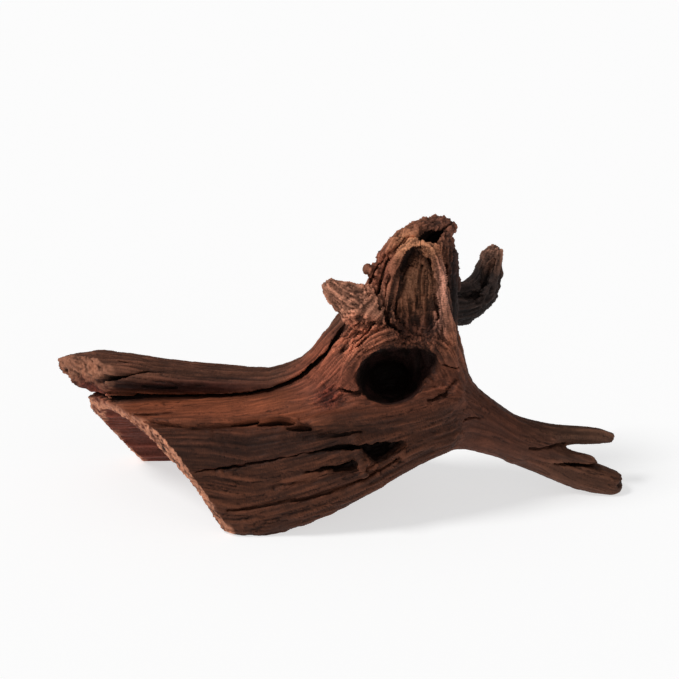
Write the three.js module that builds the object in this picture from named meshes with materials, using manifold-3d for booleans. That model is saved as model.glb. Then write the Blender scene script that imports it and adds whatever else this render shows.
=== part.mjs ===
// A piece of weathered driftwood, 300 mm long: a hollow trunk sawn off at the left, a swollen body with a
// deep knot hole, a bent limb that stands up from it, and a forked root that runs out to the right.
// Millimetres. +X right, +Y away from the viewer, +Z up. The wood stands on Z = 0.
import * as THREE from "three";
import { MarchingCubes } from "three/addons/objects/MarchingCubes.js";
import { mergeVertices } from "three/addons/utils/BufferGeometryUtils.js";
import Module from "manifold-3d";

// The skin is taken from a cubic grid of samples.
const CELL = 4.8;
const GRID_CELLS = 71;
const GRID_CENTRE = new THREE.Vector3(-4, 0, 76);
const LEAST_DEPTH = 0.12 * CELL; // keeps the skin off the grid's corners, where it would make slivers
const MOST_TRIANGLES = 20000;
const LIMB_STEPS = 16;
const FAR = 15; // beyond this a limb is taken as the ball round it
const WELD = 1e-3;

// Moves the wood's middle onto the Z axis.
const CENTRING = [-1.05, -0.25, 0];

// Each limb follows a curve through its points, [x, y, z, across, high]: across and high are the half sizes of
// its section, and lean is the direction in which high is measured. power squares the section off above 2.
// blend is how far the limb flows into the rest.
const LIMBS = [
  {
    name: "roof", lean: [0, 1, 0.16], power: 2.6, blend: 8,
    points: [
      [-152, -11, 53, 6, 22], [-100, -11, 53, 6, 22], [-50, -10, 55.5, 7, 22], [-12, -6, 62, 10, 24], [25, 0, 68, 15, 26],
    ],
  },
  {
    name: "front wall", lean: [0, 13, 50], power: 2.8, blend: 9,
    points: [
      [-152, -38, 30, 7, 24.5], [-100, -38, 30, 7, 24.5], [-68, -38, 29.5, 7, 25], [-46, -38, 25, 7.5, 28], [-26, -37.5, 29, 8.5, 26.5],
      [-6, -35, 34, 10, 23.5], [14, -31, 40.5, 11, 21.5], [32, -25, 46, 11, 19], [50, -17, 51, 12, 17],
    ],
  },
  {
    name: "back wall", lean: [0, -36, 53], power: 2.8, blend: 9,
    points: [[-152, 26, 28.6, 6, 35.5], [-100, 26, 28.6, 6.5, 35.5], [-50, 28, 31, 8, 33.5], [-5, 25, 42, 12, 27], [30, 14, 52, 16, 20]],
  },
  {
    name: "body", lean: [0, 0, 1], power: 2, blend: 14,
    points: [[14, 0, 72, 28, 28], [28, 0, 76, 30, 29], [39.5, 0, 74, 26.5, 26]],
  },
  {
    name: "upper limb", lean: [0, 0, 1], power: 2.3, blend: 5,
    points: [
      [-158, 12, 67, 11, 6.5], [-129, 9, 70.6, 13.5, 10.6], [-97, 8, 69.5, 13.5, 9.7], [-64, 7, 68.3, 13, 8],
      [-37, 5, 69, 12, 6.5], [-18, 4, 76, 11, 5.3], [-6, 4, 88, 10, 4.5], [5, 6, 100, 10, 5], [14, 8, 108, 10, 7],
    ],
  },
  {
    name: "column", lean: [0, 1, 0], power: 2, blend: 11,
    points: [
      [38.5, 2, 82, 23.5, 24], [38.5, 4, 104, 23, 20], [39, 7, 121, 22.5, 18], [43, 10, 135, 18.5, 15.5], [48.5, 12, 145, 13, 11],
      [53, 12, 149, 8, 6],
    ],
  },
  {
    name: "stub", lean: [-0.55, 0.83, 0], power: 2, blend: 6,
    points: [[48, 22, 102, 13, 12], [64, 33, 98, 11, 11], [76, 40, 101, 10, 9], [83, 43.5, 111, 7.2, 7], [84, 44, 124, 5.4, 5.4]],
  },
  {
    name: "spike", lean: [0.5, 0, 1], power: 2, blend: 5,
    points: [[16, -5, 111.5, 7, 14], [4, -7.5, 118.5, 4.8, 10.5], [-5.5, -8, 125, 3, 4.5]],
  },
  {
    name: "crest", lean: [0, 1, 0], power: 2, blend: 4,
    points: [[46, 12, 142, 8, 7], [53, 11, 149, 6, 5], [58, 10, 152.5, 4, 4]],
  },
  {
    name: "branch", lean: [0, 0, 1], power: 2, blend: 11,
    points: [[48, -4, 61, 17, 21], [72, -2, 46, 14, 15], [93, 2, 33.8, 12, 11.2], [108, 5, 26.2, 10, 10]],
  },
  {
    name: "upper fork", lean: [0, 0, 1], power: 2, blend: 5,
    points: [[98, 4, 34, 8, 8], [122, 9, 32, 5.5, 5.5], [140, 12, 30.5, 4.7, 4.4], [149.5, 14, 28.5, 4.2, 3.9]],
  },
  {
    name: "lower fork", lean: [0, 0, 1], power: 2, blend: 5,
    points: [[98, 4, 27.5, 9, 10], [122, 5, 14.6, 8, 9.2], [136, 4, 9.2, 8, 8.6], [149, 4, 5, 8, 7.2]],
  },
];

// Holes with round ends, made the same way as the limbs and taken out of them.
const HOLES = [
  { name: "knot hole", lean: [0, 0.35, 1], power: 2, blend: 3, points: [[30, -36, 85, 21, 15], [30, -20, 78, 20, 14], [29, 0, 70, 13, 9]] },
  {
    name: "recess", lean: [0, 1, 0], power: 2, blend: 4,
    points: [[39, -13, 136, 8, 9], [41, -15, 124, 11, 12], [42, -18, 110, 13, 13], [42, -20, 103, 12, 10]],
  },
  { name: "top hole", lean: [0, 0, 1], power: 2, blend: 2, points: [[45, -6, 151, 6, 4.5], [48, 5, 145, 5, 4]] },
  { name: "side knot", lean: [0, 0, 1], power: 2, blend: 3, points: [[4, -46, 42, 9, 5], [20, -39, 48, 8, 7]] },
];

// The saw's flat cuts: the wood lies on the side that the normal points away from.
const TRUNK_SAW = { normal: [-0.696, -0.636, -0.333], point: [-97.9, -22.8, 36.9] };
const LIMB_BREAK = { normal: [-0.647, -0.762, -0.03], point: [-137.1, 8.5, 71.9], above: 60, behind: -12 };
const BACK_SAW = { normal: [-0.731, -0.413, -0.544], point: [-135.4, 8, 54], below: 57, behind: 6 };
const FLOOR = { normal: [0, 0, -1], point: [0, 0, 0] };
const SAW_REACH = 400;

// The long cleft between the limb and the trunk, as the viewer sees it: x and z of its line.
const CLEFT_LINE = [
  [-165, 60.2], [-122, 60.4], [-75, 61], [-48, 63.4], [-27, 69.6], [-16, 77], [-6, 88], [2, 98],
];
const CLEFT_GAP = 3.6;
const CLEFT_STEPS = 24;
const CLEFT_FRONT = -60;
const CLEFT_DEPTH = 66;

const wasm = await Module();
wasm.setup();

// A limb or hole as short straight stretches, each with its section's axes and half sizes at its two ends.
function stretches({ points, lean }) {
  const line = new THREE.CatmullRomCurve3(points.map(([x, y, z]) => new THREE.Vector3(x, y, z)), false, "catmullrom");
  const sizes = new THREE.CatmullRomCurve3(points.map(([, , , a, h]) => new THREE.Vector3(a, h, 0)), false, "catmullrom");
  const up = new THREE.Vector3(...lean).normalize();
  const made = [];
  for (let i = 0; i < LIMB_STEPS; i++) {
    const start = line.getPoint(i / LIMB_STEPS);
    const end = line.getPoint((i + 1) / LIMB_STEPS);
    const along = end.clone().sub(start);
    const length = along.length();
    along.divideScalar(length);
    const high = up.clone().addScaledVector(along, -up.dot(along)).normalize();
    const across = new THREE.Vector3().crossVectors(along, high);
    const sizeA = sizes.getPoint(i / LIMB_STEPS);
    const sizeB = sizes.getPoint((i + 1) / LIMB_STEPS);
    made.push({ start, end, along, high, across, length, sizeA, sizeB });
  }
  return made;
}

// A limb with its stretches and the ball that holds it.
function grown(limb) {
  const made = stretches(limb);
  const ball = new THREE.Sphere().setFromPoints(made.flatMap(({ start, end }) => [start, end]));
  ball.radius += Math.max(...limb.points.flatMap(([, , , a, h]) => [a, h]));
  return { ...limb, stretches: made, ball };
}

const limbs = LIMBS.map(grown);
const holes = HOLES.map(grown);
const offset = new THREE.Vector3();

// How far a point is outside a limb, in millimetres; negative inside.
function distanceToLimb(p, { ball, power, stretches: parts }) {
  const away = ball.distanceToPoint(p);
  if (away > FAR) return away;
  let nearest = Infinity;
  for (const s of parts) {
    offset.subVectors(p, s.start);
    const t = THREE.MathUtils.clamp(offset.dot(s.along), 0, s.length);
    const beyond = offset.dot(s.along) - t;
    const a = offset.dot(s.across);
    const h = offset.dot(s.high);
    const sizeAcross = THREE.MathUtils.lerp(s.sizeA.x, s.sizeB.x, t / s.length);
    const sizeHigh = THREE.MathUtils.lerp(s.sizeA.y, s.sizeB.y, t / s.length);
    const sizeEnd = Math.min(sizeAcross, sizeHigh);
    const section = (Math.abs(a) / sizeAcross) ** power + (Math.abs(h) / sizeHigh) ** power;
    const ratio = Math.hypot(section ** (1 / power), beyond / sizeEnd);
    const reach = Math.hypot(a, h, beyond);
    nearest = Math.min(nearest, ratio > 0 ? reach * (1 - 1 / ratio) : -sizeEnd);
  }
  return nearest;
}

// The smaller of two distances, rounded off where they are within blend of each other.
function smoothMin(a, b, blend) {
  const h = Math.max(blend - Math.abs(a - b), 0);
  return Math.min(a, b) - (h * h) / (4 * blend);
}

function distanceToWood(p) {
  let d = distanceToLimb(p, limbs[0]);
  for (const limb of limbs.slice(1)) d = smoothMin(d, distanceToLimb(p, limb), limb.blend);
  for (const hole of holes) d = -smoothMin(-d, distanceToLimb(p, hole), hole.blend);
  return d;
}

// The skin where the distance is zero, as a closed mesh.
function skin() {
  const cubes = new MarchingCubes(GRID_CELLS, new THREE.MeshBasicMaterial(), false, false, MOST_TRIANGLES);
  cubes.isolation = 0;
  const half = (GRID_CELLS * CELL) / 2;
  const p = new THREE.Vector3();
  for (let k = 0, i = 0; k < GRID_CELLS; k++)
    for (let j = 0; j < GRID_CELLS; j++)
      for (let n = 0; n < GRID_CELLS; n++, i++) {
        p.set(n, j, k).multiplyScalar(CELL).addScalar(-half).add(GRID_CENTRE);
        const depth = -distanceToWood(p);
        cubes.field[i] = Math.sign(depth) * Math.max(Math.abs(depth), LEAST_DEPTH);
      }
  cubes.update();
  const positions = cubes.positionArray.slice(0, cubes.count * 3);
  return new THREE.BufferGeometry()
    .setAttribute("position", new THREE.BufferAttribute(positions, 3))
    .scale(half, half, half)
    .translate(...GRID_CENTRE);
}

function toSolid(geometry) {
  const bare = geometry.index ? geometry.toNonIndexed() : geometry.clone();
  bare.deleteAttribute("normal");
  bare.deleteAttribute("uv");
  const merged = mergeVertices(bare, WELD);
  return new wasm.Manifold(
    new wasm.Mesh({
      numProp: 3,
      vertProperties: merged.attributes.position.array,
      triVerts: new Uint32Array(merged.index.array),
    }),
  );
}

function toGeometry(solid) {
  const mesh = solid.getMesh();
  const geometry = new THREE.BufferGeometry()
    .setAttribute("position", new THREE.BufferAttribute(mesh.vertProperties, 3))
    .setIndex(new THREE.BufferAttribute(mesh.triVerts, 1));
  geometry.computeVertexNormals();
  return geometry;
}

// The block that a saw takes away: one face lies on its plane. A cut may stay above or below a height, and
// behind a depth.
function sawnOff({ normal, point, above = -SAW_REACH, below = SAW_REACH, behind = -SAW_REACH }) {
  const block = new THREE.BoxGeometry(SAW_REACH, SAW_REACH, SAW_REACH);
  block.translate(0, 0, SAW_REACH / 2);
  const facing = new THREE.Vector3(...normal).normalize();
  block.applyQuaternion(new THREE.Quaternion().setFromUnitVectors(new THREE.Vector3(0, 0, 1), facing));
  block.translate(...point);
  const room = new THREE.BoxGeometry(2 * SAW_REACH, SAW_REACH - behind, below - above);
  room.translate(0, (SAW_REACH + behind) / 2, (above + below) / 2);
  return toSolid(block).intersect(toSolid(room));
}

// A blade as wide as the cleft that thins to nothing at its right end, driven in from the front.
function cleftBlade() {
  const curve = new THREE.SplineCurve(CLEFT_LINE.map(([x, z]) => new THREE.Vector2(x, z)));
  const upper = [];
  const lower = [];
  for (let i = 0; i <= CLEFT_STEPS; i++) {
    const share = i / CLEFT_STEPS;
    const at = curve.getPoint(share);
    const along = curve.getTangent(share);
    const aside = new THREE.Vector2(-along.y, along.x).multiplyScalar((CLEFT_GAP / 2) * Math.sqrt(1 - share));
    upper.push(at.clone().add(aside));
    if (share < 1) lower.unshift(at.clone().sub(aside));
  }
  const blade = new THREE.ExtrudeGeometry(new THREE.Shape([...upper, ...lower]), { depth: CLEFT_DEPTH, bevelEnabled: false });
  blade.rotateX(Math.PI / 2);
  blade.translate(0, CLEFT_FRONT + CLEFT_DEPTH, 0);
  return toSolid(blade);
}

let wood = toSolid(skin());
for (const saw of [TRUNK_SAW, LIMB_BREAK, BACK_SAW, FLOOR]) wood = wood.subtract(sawnOff(saw));
wood = wood.subtract(cleftBlade());
wood = wood.decompose().sort((a, b) => b.volume() - a.volume())[0];

const material = new THREE.MeshStandardMaterial({ color: 0x5a3226, roughness: 0.75, metalness: 0 });
const driftwood = new THREE.Mesh(toGeometry(wood).translate(...CENTRING), material);
driftwood.name = "driftwood";

const part = new THREE.Group();
part.add(driftwood);
export default part;
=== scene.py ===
import itertools
import math

import bpy
import numpy as np
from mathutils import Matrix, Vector


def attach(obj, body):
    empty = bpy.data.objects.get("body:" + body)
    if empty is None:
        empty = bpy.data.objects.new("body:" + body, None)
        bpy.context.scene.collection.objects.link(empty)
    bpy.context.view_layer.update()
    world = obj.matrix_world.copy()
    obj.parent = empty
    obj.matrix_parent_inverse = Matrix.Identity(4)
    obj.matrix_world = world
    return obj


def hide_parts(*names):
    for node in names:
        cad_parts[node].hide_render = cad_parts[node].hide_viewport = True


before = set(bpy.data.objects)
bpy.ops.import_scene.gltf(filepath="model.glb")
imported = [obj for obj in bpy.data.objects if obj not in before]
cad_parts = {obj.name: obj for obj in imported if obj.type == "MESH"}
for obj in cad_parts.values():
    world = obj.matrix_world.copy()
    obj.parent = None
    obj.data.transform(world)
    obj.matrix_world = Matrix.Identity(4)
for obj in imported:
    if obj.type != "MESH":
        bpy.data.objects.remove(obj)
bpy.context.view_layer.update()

MM = 0.001
CENTRING = np.array([-1.05, -0.25, 0.0])  # moves the wood's middle onto the Z axis, as in the solid

# The main limbs are sampled on a coarse grid, which is then refined for the small forms.
COARSE = 2.25
REFINE = 4
CELL = COARSE / REFINE
GRID_LOW = np.array([-164.0, -56.0, -4.5])
GRID_HIGH = np.array([164.0, 57.0, 166.0])
LIMB_STEPS = 16
NEAR = 17.0  # how far round a limb the coarse grid looks at it
FINE_NEAR = 5.0  # and how far round a small form the fine grid does
FAR = 30.0  # distances are kept up to here
BIG = 1e3


def srgb(red, green, blue):
    """A colour given as it looks on a screen, 0 to 255, as linear light."""
    shares = np.array([red, green, blue]) / 255
    return np.where(shares <= 0.04045, shares / 12.92, ((shares + 0.055) / 1.055) ** 2.4)


# Each limb follows a curve through its points, (x, y, z, across, high): across and high are the half sizes
# of its section, and lean is the direction in which high is measured. power squares the section off above
# 2, and blend is how far the limb flows into the rest. rough is the depth of its relief, tint its colour.
LIMBS = [
    dict(name="roof", lean=(0, 1, 0.16), power=2.6, blend=8, rough=0.3, tint=srgb(114, 63, 42), points=[
        (-152, -11, 53, 6, 22), (-100, -11, 53, 6, 22), (-50, -10, 55.5, 7, 22), (-12, -6, 62, 10, 24),
        (25, 0, 68, 15, 26)]),
    dict(name="front wall", lean=(0, 13, 50), power=2.8, blend=9, rough=0.8, tint=srgb(76, 44, 30), points=[
        (-152, -38, 30, 7, 24.5), (-100, -38, 30, 7, 24.5), (-68, -38, 29.5, 7, 25),
        (-46, -38, 25, 7.5, 28), (-26, -37.5, 29, 8.5, 26.5), (-6, -35, 34, 10, 23.5),
        (14, -31, 41, 11, 20.8), (32, -25, 46.5, 11, 18), (50, -17, 51, 12, 17)]),
    dict(name="back wall", lean=(0, -36, 53), power=2.8, blend=9, rough=0.8, tint=srgb(88, 52, 39), points=[
        (-152, 26, 28.6, 6, 35.5), (-100, 26, 28.6, 6.5, 35.5), (-50, 28, 31, 8, 33.5),
        (-5, 25, 42, 12, 27), (30, 14, 52, 16, 20)]),
    dict(name="body", lean=(0, 0, 1), blend=14, rough=0.7, tint=srgb(101, 58, 42), points=[
        (14, 0, 72, 28, 28), (28, 0, 76, 30, 29), (39.5, 0, 74, 26.5, 26)]),
    dict(name="upper limb", lean=(0, 0, 1), power=2.3, blend=5, rough=0.75, tint=srgb(92, 58, 44), points=[
        (-158, 12, 66.5, 11, 6.5), (-129, 9, 70, 13.5, 10), (-97, 8, 67.5, 13.5, 7.7),
        (-64, 7, 65.9, 13, 5.6), (-37, 5, 66.7, 12, 4.3), (-18, 4, 74.7, 11, 4), (-6, 4, 87.5, 10, 4),
        (5, 6, 100, 10, 5), (14, 8, 108, 10, 7)]),
    dict(name="column", lean=(0, 1, 0), blend=11, rough=1.6, tint=srgb(124, 80, 60), points=[
        (38.5, 2, 82, 23.5, 24), (38.5, 4, 104, 23, 20), (39, 7, 121, 22.5, 18), (43, 10, 135, 18.5, 15.5),
        (48.5, 12, 144, 11, 11), (53, 12, 148.5, 6.5, 6)]),
    # The stub's tint is partly its own colour and partly painted shade, for the shadow behind the column
    # that it stands in.
    dict(name="stub", lean=(-0.55, 0.83, 0), blend=6, rough=1.3, tint=srgb(42, 32, 29), points=[
        (48, 22, 102, 13, 12), (64, 33, 98.8, 11.2, 11), (75, 39.5, 102, 10, 9.3),
        (80.5, 43, 111, 7.6, 7.2), (83, 44, 121.6, 5.8, 5.4)]),
    dict(name="spike", lean=(0.5, 0, 1), blend=5, rough=0.9, tint=srgb(170, 119, 97), points=[
        (16, -5, 110.3, 7, 12.8), (4, -7.5, 117.5, 4.8, 9.4), (-5.5, -8, 124.6, 3, 4.5)]),
    dict(name="crest", lean=(0, 1, 0), blend=4, rough=1.6, tint=srgb(90, 58, 44), points=[
        (46, 12, 141, 7, 7), (53, 11, 147.6, 5.2, 5), (57.5, 10, 151.6, 3.6, 3.6)]),
    dict(name="branch", lean=(0, 0, 1), blend=11, rough=0.4, tint=srgb(93, 55, 41), points=[
        (48, -4, 61, 17, 21), (72, -2, 46, 14, 15), (93, 2, 33.8, 12, 11.2), (108, 5, 26.2, 10, 10)]),
    dict(name="upper fork", lean=(0, 0, 1), blend=5, rough=0.5, tint=srgb(94, 65, 51), points=[
        (98, 4, 34, 8, 8), (122, 9, 31.6, 5.5, 5.5), (140, 12, 29.3, 5, 4.8), (149.5, 14, 26, 4.4, 4.3)]),
    dict(name="lower fork", lean=(0, 0, 1), blend=5, rough=0.5, tint=srgb(88, 57, 43), points=[
        (98, 4, 27.5, 9, 10), (122, 5, 14.6, 8, 9.2), (136, 4, 9.2, 8, 8.6), (149, 4, 5, 8, 7.2)]),
]


def form(name, lean, blend, points, steady=1, steps=LIMB_STEPS):
    """A small form. steady scales how far its edges wander, and steps is how finely it is followed."""
    return dict(name=name, lean=lean, blend=blend, points=points, steady=steady, steps=steps)


def guide(name, lean, pull, size, points):
    """A line that the grain follows, how strongly it does, and how far round the line."""
    return dict(name=name, lean=lean, pull=pull, points=[(*point, size, size) for point in points])


# The curve of the arch over the recess, which the grain follows too.
ARCH_LINE = [
    (24, -8, 119, 0.5, 0.8), (26, -7.5, 129, 1, 1.2), (30, -6, 139, 1.8, 2), (36.5, -4, 145.5, 2.4, 2.4),
    (43, -4.5, 146, 2.6, 2.6), (48.5, -6.5, 141, 2.8, 3), (51.5, -8.5, 132, 3, 3.4),
    (53, -11, 121, 3.1, 3.6), (55, -13, 110, 3, 3.6), (58, -13, 99, 2.6, 3), (62, -12, 87, 1, 1.2),
]
# Small raised forms, made the same way as the limbs.
SWELLINGS = [
    form("rim of the knot hole", (0, 1, 0.4), 4, [
        (1, -24, 73, 0.6, 0.8), (4, -25, 83, 2, 2), (10, -21.5, 92, 2.8, 2.6), (19, -18.5, 98, 3.2, 2.8),
        (30, -17, 100.5, 3.2, 2.8), (42, -16, 99, 3.2, 2.8), (51, -16, 93, 3, 2.6), (58, -17, 84, 2.2, 2.2),
        (62, -17, 75, 0.8, 1)]),
    form("tongue under the hole", (0, 1, 0.2), 5, [
        (-19, -35.5, 58.5, 1.5, 3), (-6, -35, 60.5, 3.5, 4), (12, -34.5, 61, 4.5, 4), (32, -31, 60, 4.5, 4),
        (50, -25, 62, 3.5, 4), (62, -19, 66, 1.5, 2)]),
    form("arch", (0, 1, 0.3), 2, ARCH_LINE, steps=32),
    form("ridge over the arch", (0, 1, 0.3), 4, [
        (22.5, 2, 135.8, 2.2, 2.2), (27, 0, 143.4, 2.8, 2.8), (32, 2, 147.8, 3.2, 3.2),
        (40, 4, 150.6, 2.4, 2.4)]),
    form("left shoulder", (0, 1, 0), 4, [
        (24, 2, 138.6, 1.8, 1.8), (20, 2, 132, 2, 2), (17.6, 1, 126, 2, 2), (15.5, 0, 118, 1.4, 1.4)]),
    form("web under the branch", (0, 0, 1), 6, [
        (44, -16, 37.5, 5, 5), (62, -9, 38.3, 6, 5.5), (78, -4, 35.6, 8, 6), (94, 0, 28.5, 8, 6)]),
    form("foot of the front wall", (0, 0, 1), 3, [
        (-54, -44, 3.5, 3, 3.5), (-47, -45, 2.5, 3.4, 3.5), (-40, -45.4, 2.5, 3, 3.5)]),
    form("root of the spike", (0.5, 0, 1), 4, [
        (6, -8.5, 115, 2.6, 9), (16, -10.5, 111, 2.8, 9.5), (24, -12.5, 107, 2.2, 6)]),
    form("strand in the recess 1", (0, 1, 0), 1.6, [
        (43, -1, 136, 0.8, 2), (42, -3.5, 126, 1.3, 2.6), (42.5, -6.5, 114, 1.5, 3),
        (45, -10, 104, 1.2, 3)]),
    form("strand in the recess 2", (0, 1, 0), 1.6, [
        (39, 0, 137, 0.7, 2), (37.5, -1.5, 127, 1.2, 2.6), (37, -4.5, 116, 1.4, 3), (39, -8, 106, 1.2, 3)]),
    form("pillar", (1, 0, 0), 2.5, [
        (8, -38.5, 51, 3, 3), (10.5, -41, 43, 2.6, 2.6), (12, -44, 35, 3, 3.6)]),
    form("nub", (0, 0, 1), 2.5, [(22, 0, 129, 4, 4.4), (14, -1, 131.6, 2.1, 2.6)]),
    form("back lobe", (0, 1, 0), 3, [
        (51.5, 13, 151, 3.5, 5), (54.4, 13, 143, 4, 6), (55.4, 12, 132, 4, 6), (58.4, 12, 124, 3, 5),
        (61, 16, 117, 2.6, 5)]),
    form("knob on the stub", (0, 1, 0), 2.5, [
        (82, 43.5, 116, 4.6, 4.6), (83.4, 44, 122.6, 4.4, 4.6), (84.6, 44, 125.6, 3.4, 3.6)]),
    form("heel of the stub", (0, 1, 0), 3, [(68, 32, 92.6, 4, 4), (82, 41.5, 101.5, 4, 4)]),
    form("splinter", (0, 1, 0), 1, [(87, 42, 106, 1.5, 1.5), (87.6, 42, 117.5, 0.8, 0.8)]),
    form("flake", (0, 0.6, -0.8), 1.5, [
        (-112, -20, 56.5, 0.4, 0.8), (-98, -28, 57.5, 1, 2), (-80, -32.5, 57.5, 1.4, 2.6),
        (-64, -31.5, 58, 1.5, 2.6), (-48, -30, 59, 1.6, 2.6), (-34, -31, 60, 1.6, 2.6),
        (-22, -33, 60, 1, 2)]),
    form("splinter of the lower fork", (0, 0, 1), 4, [
        (104, 0, 30, 2, 1.6), (116, 0, 25.4, 3, 2), (127, 1, 22.6, 3.4, 2.2), (136, 1, 21, 3.2, 1.8),
        (140, 1, 19.6, 2, 1.2)]),
    form("crumbs at the roof's end", (0, 0, 1), 3, [
        (-130, 0, 58, 4, 1.6), (-124, -10, 57.5, 4, 2), (-118, -17, 56.5, 2, 1)]),
]

# Hollows, cracks and slots are the same kind of form, taken out. For a crack, across is half its gap. The
# first few are cut before the skin is copied and get no painted shade, and the rest get painted shade
# inside.
OPEN_HOLLOWS = [
    form("recess", (0, 1, 0), 2, [
        (39.5, -12, 138, 7.5, 14), (40, -14, 129, 10.5, 16), (40, -17, 115, 12.5, 15),
        (41, -20, 104, 12, 12)]),
    form("notch in the right edge", (0, 0, 1), 3, [
        (63.6, -12, 147, 5, 4.2), (63.4, 12, 145.5, 5, 4.2), (63.4, 30, 143, 5, 4.2)]),
    form("groove right of the arch", (-0.6, 1, 0), 2, [
        (55.5, -4, 143, 2, 5), (58.5, -5, 134, 3, 8), (60.5, -6, 122, 3.4, 9), (63, -7, 109, 2.4, 6)]),
    form("shelf right of the hole", (-0.4, 1, 0), 3, [
        (36, -28, 80, 10, 9), (46, -25, 80, 9, 8.5), (55, -20.5, 78, 6.5, 5.5), (62, -17, 76, 3, 2.4)]),
    form("stub hollow", (-0.3, 0.9, -0.3), 2, [(69, 25, 107, 2.5, 5), (75, 30, 105, 3, 6)]),
    form("stub groove", (-0.3, 0.9, 0), 1.5, [
        (79, 34, 109, 1.6, 6), (81, 36, 115, 2, 6), (84, 37.5, 122, 1.2, 3)]),
    form("flank groove", (0, 1, -0.2), 3, [
        (-34, -47, 27, 0.8, 1.4), (-8, -45.5, 34, 0.9, 1.6), (14, -43, 36, 1, 2), (34, -36, 46, 0.8, 2)]),
    form("long groove low", (0, 1, -0.2), 3, [
        (-58, -47, 14, 0.7, 1.2), (-26, -47, 20, 0.9, 1.6), (6, -44, 28, 0.9, 1.6),
        (32, -37, 40, 0.7, 1.4)]),
]
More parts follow.
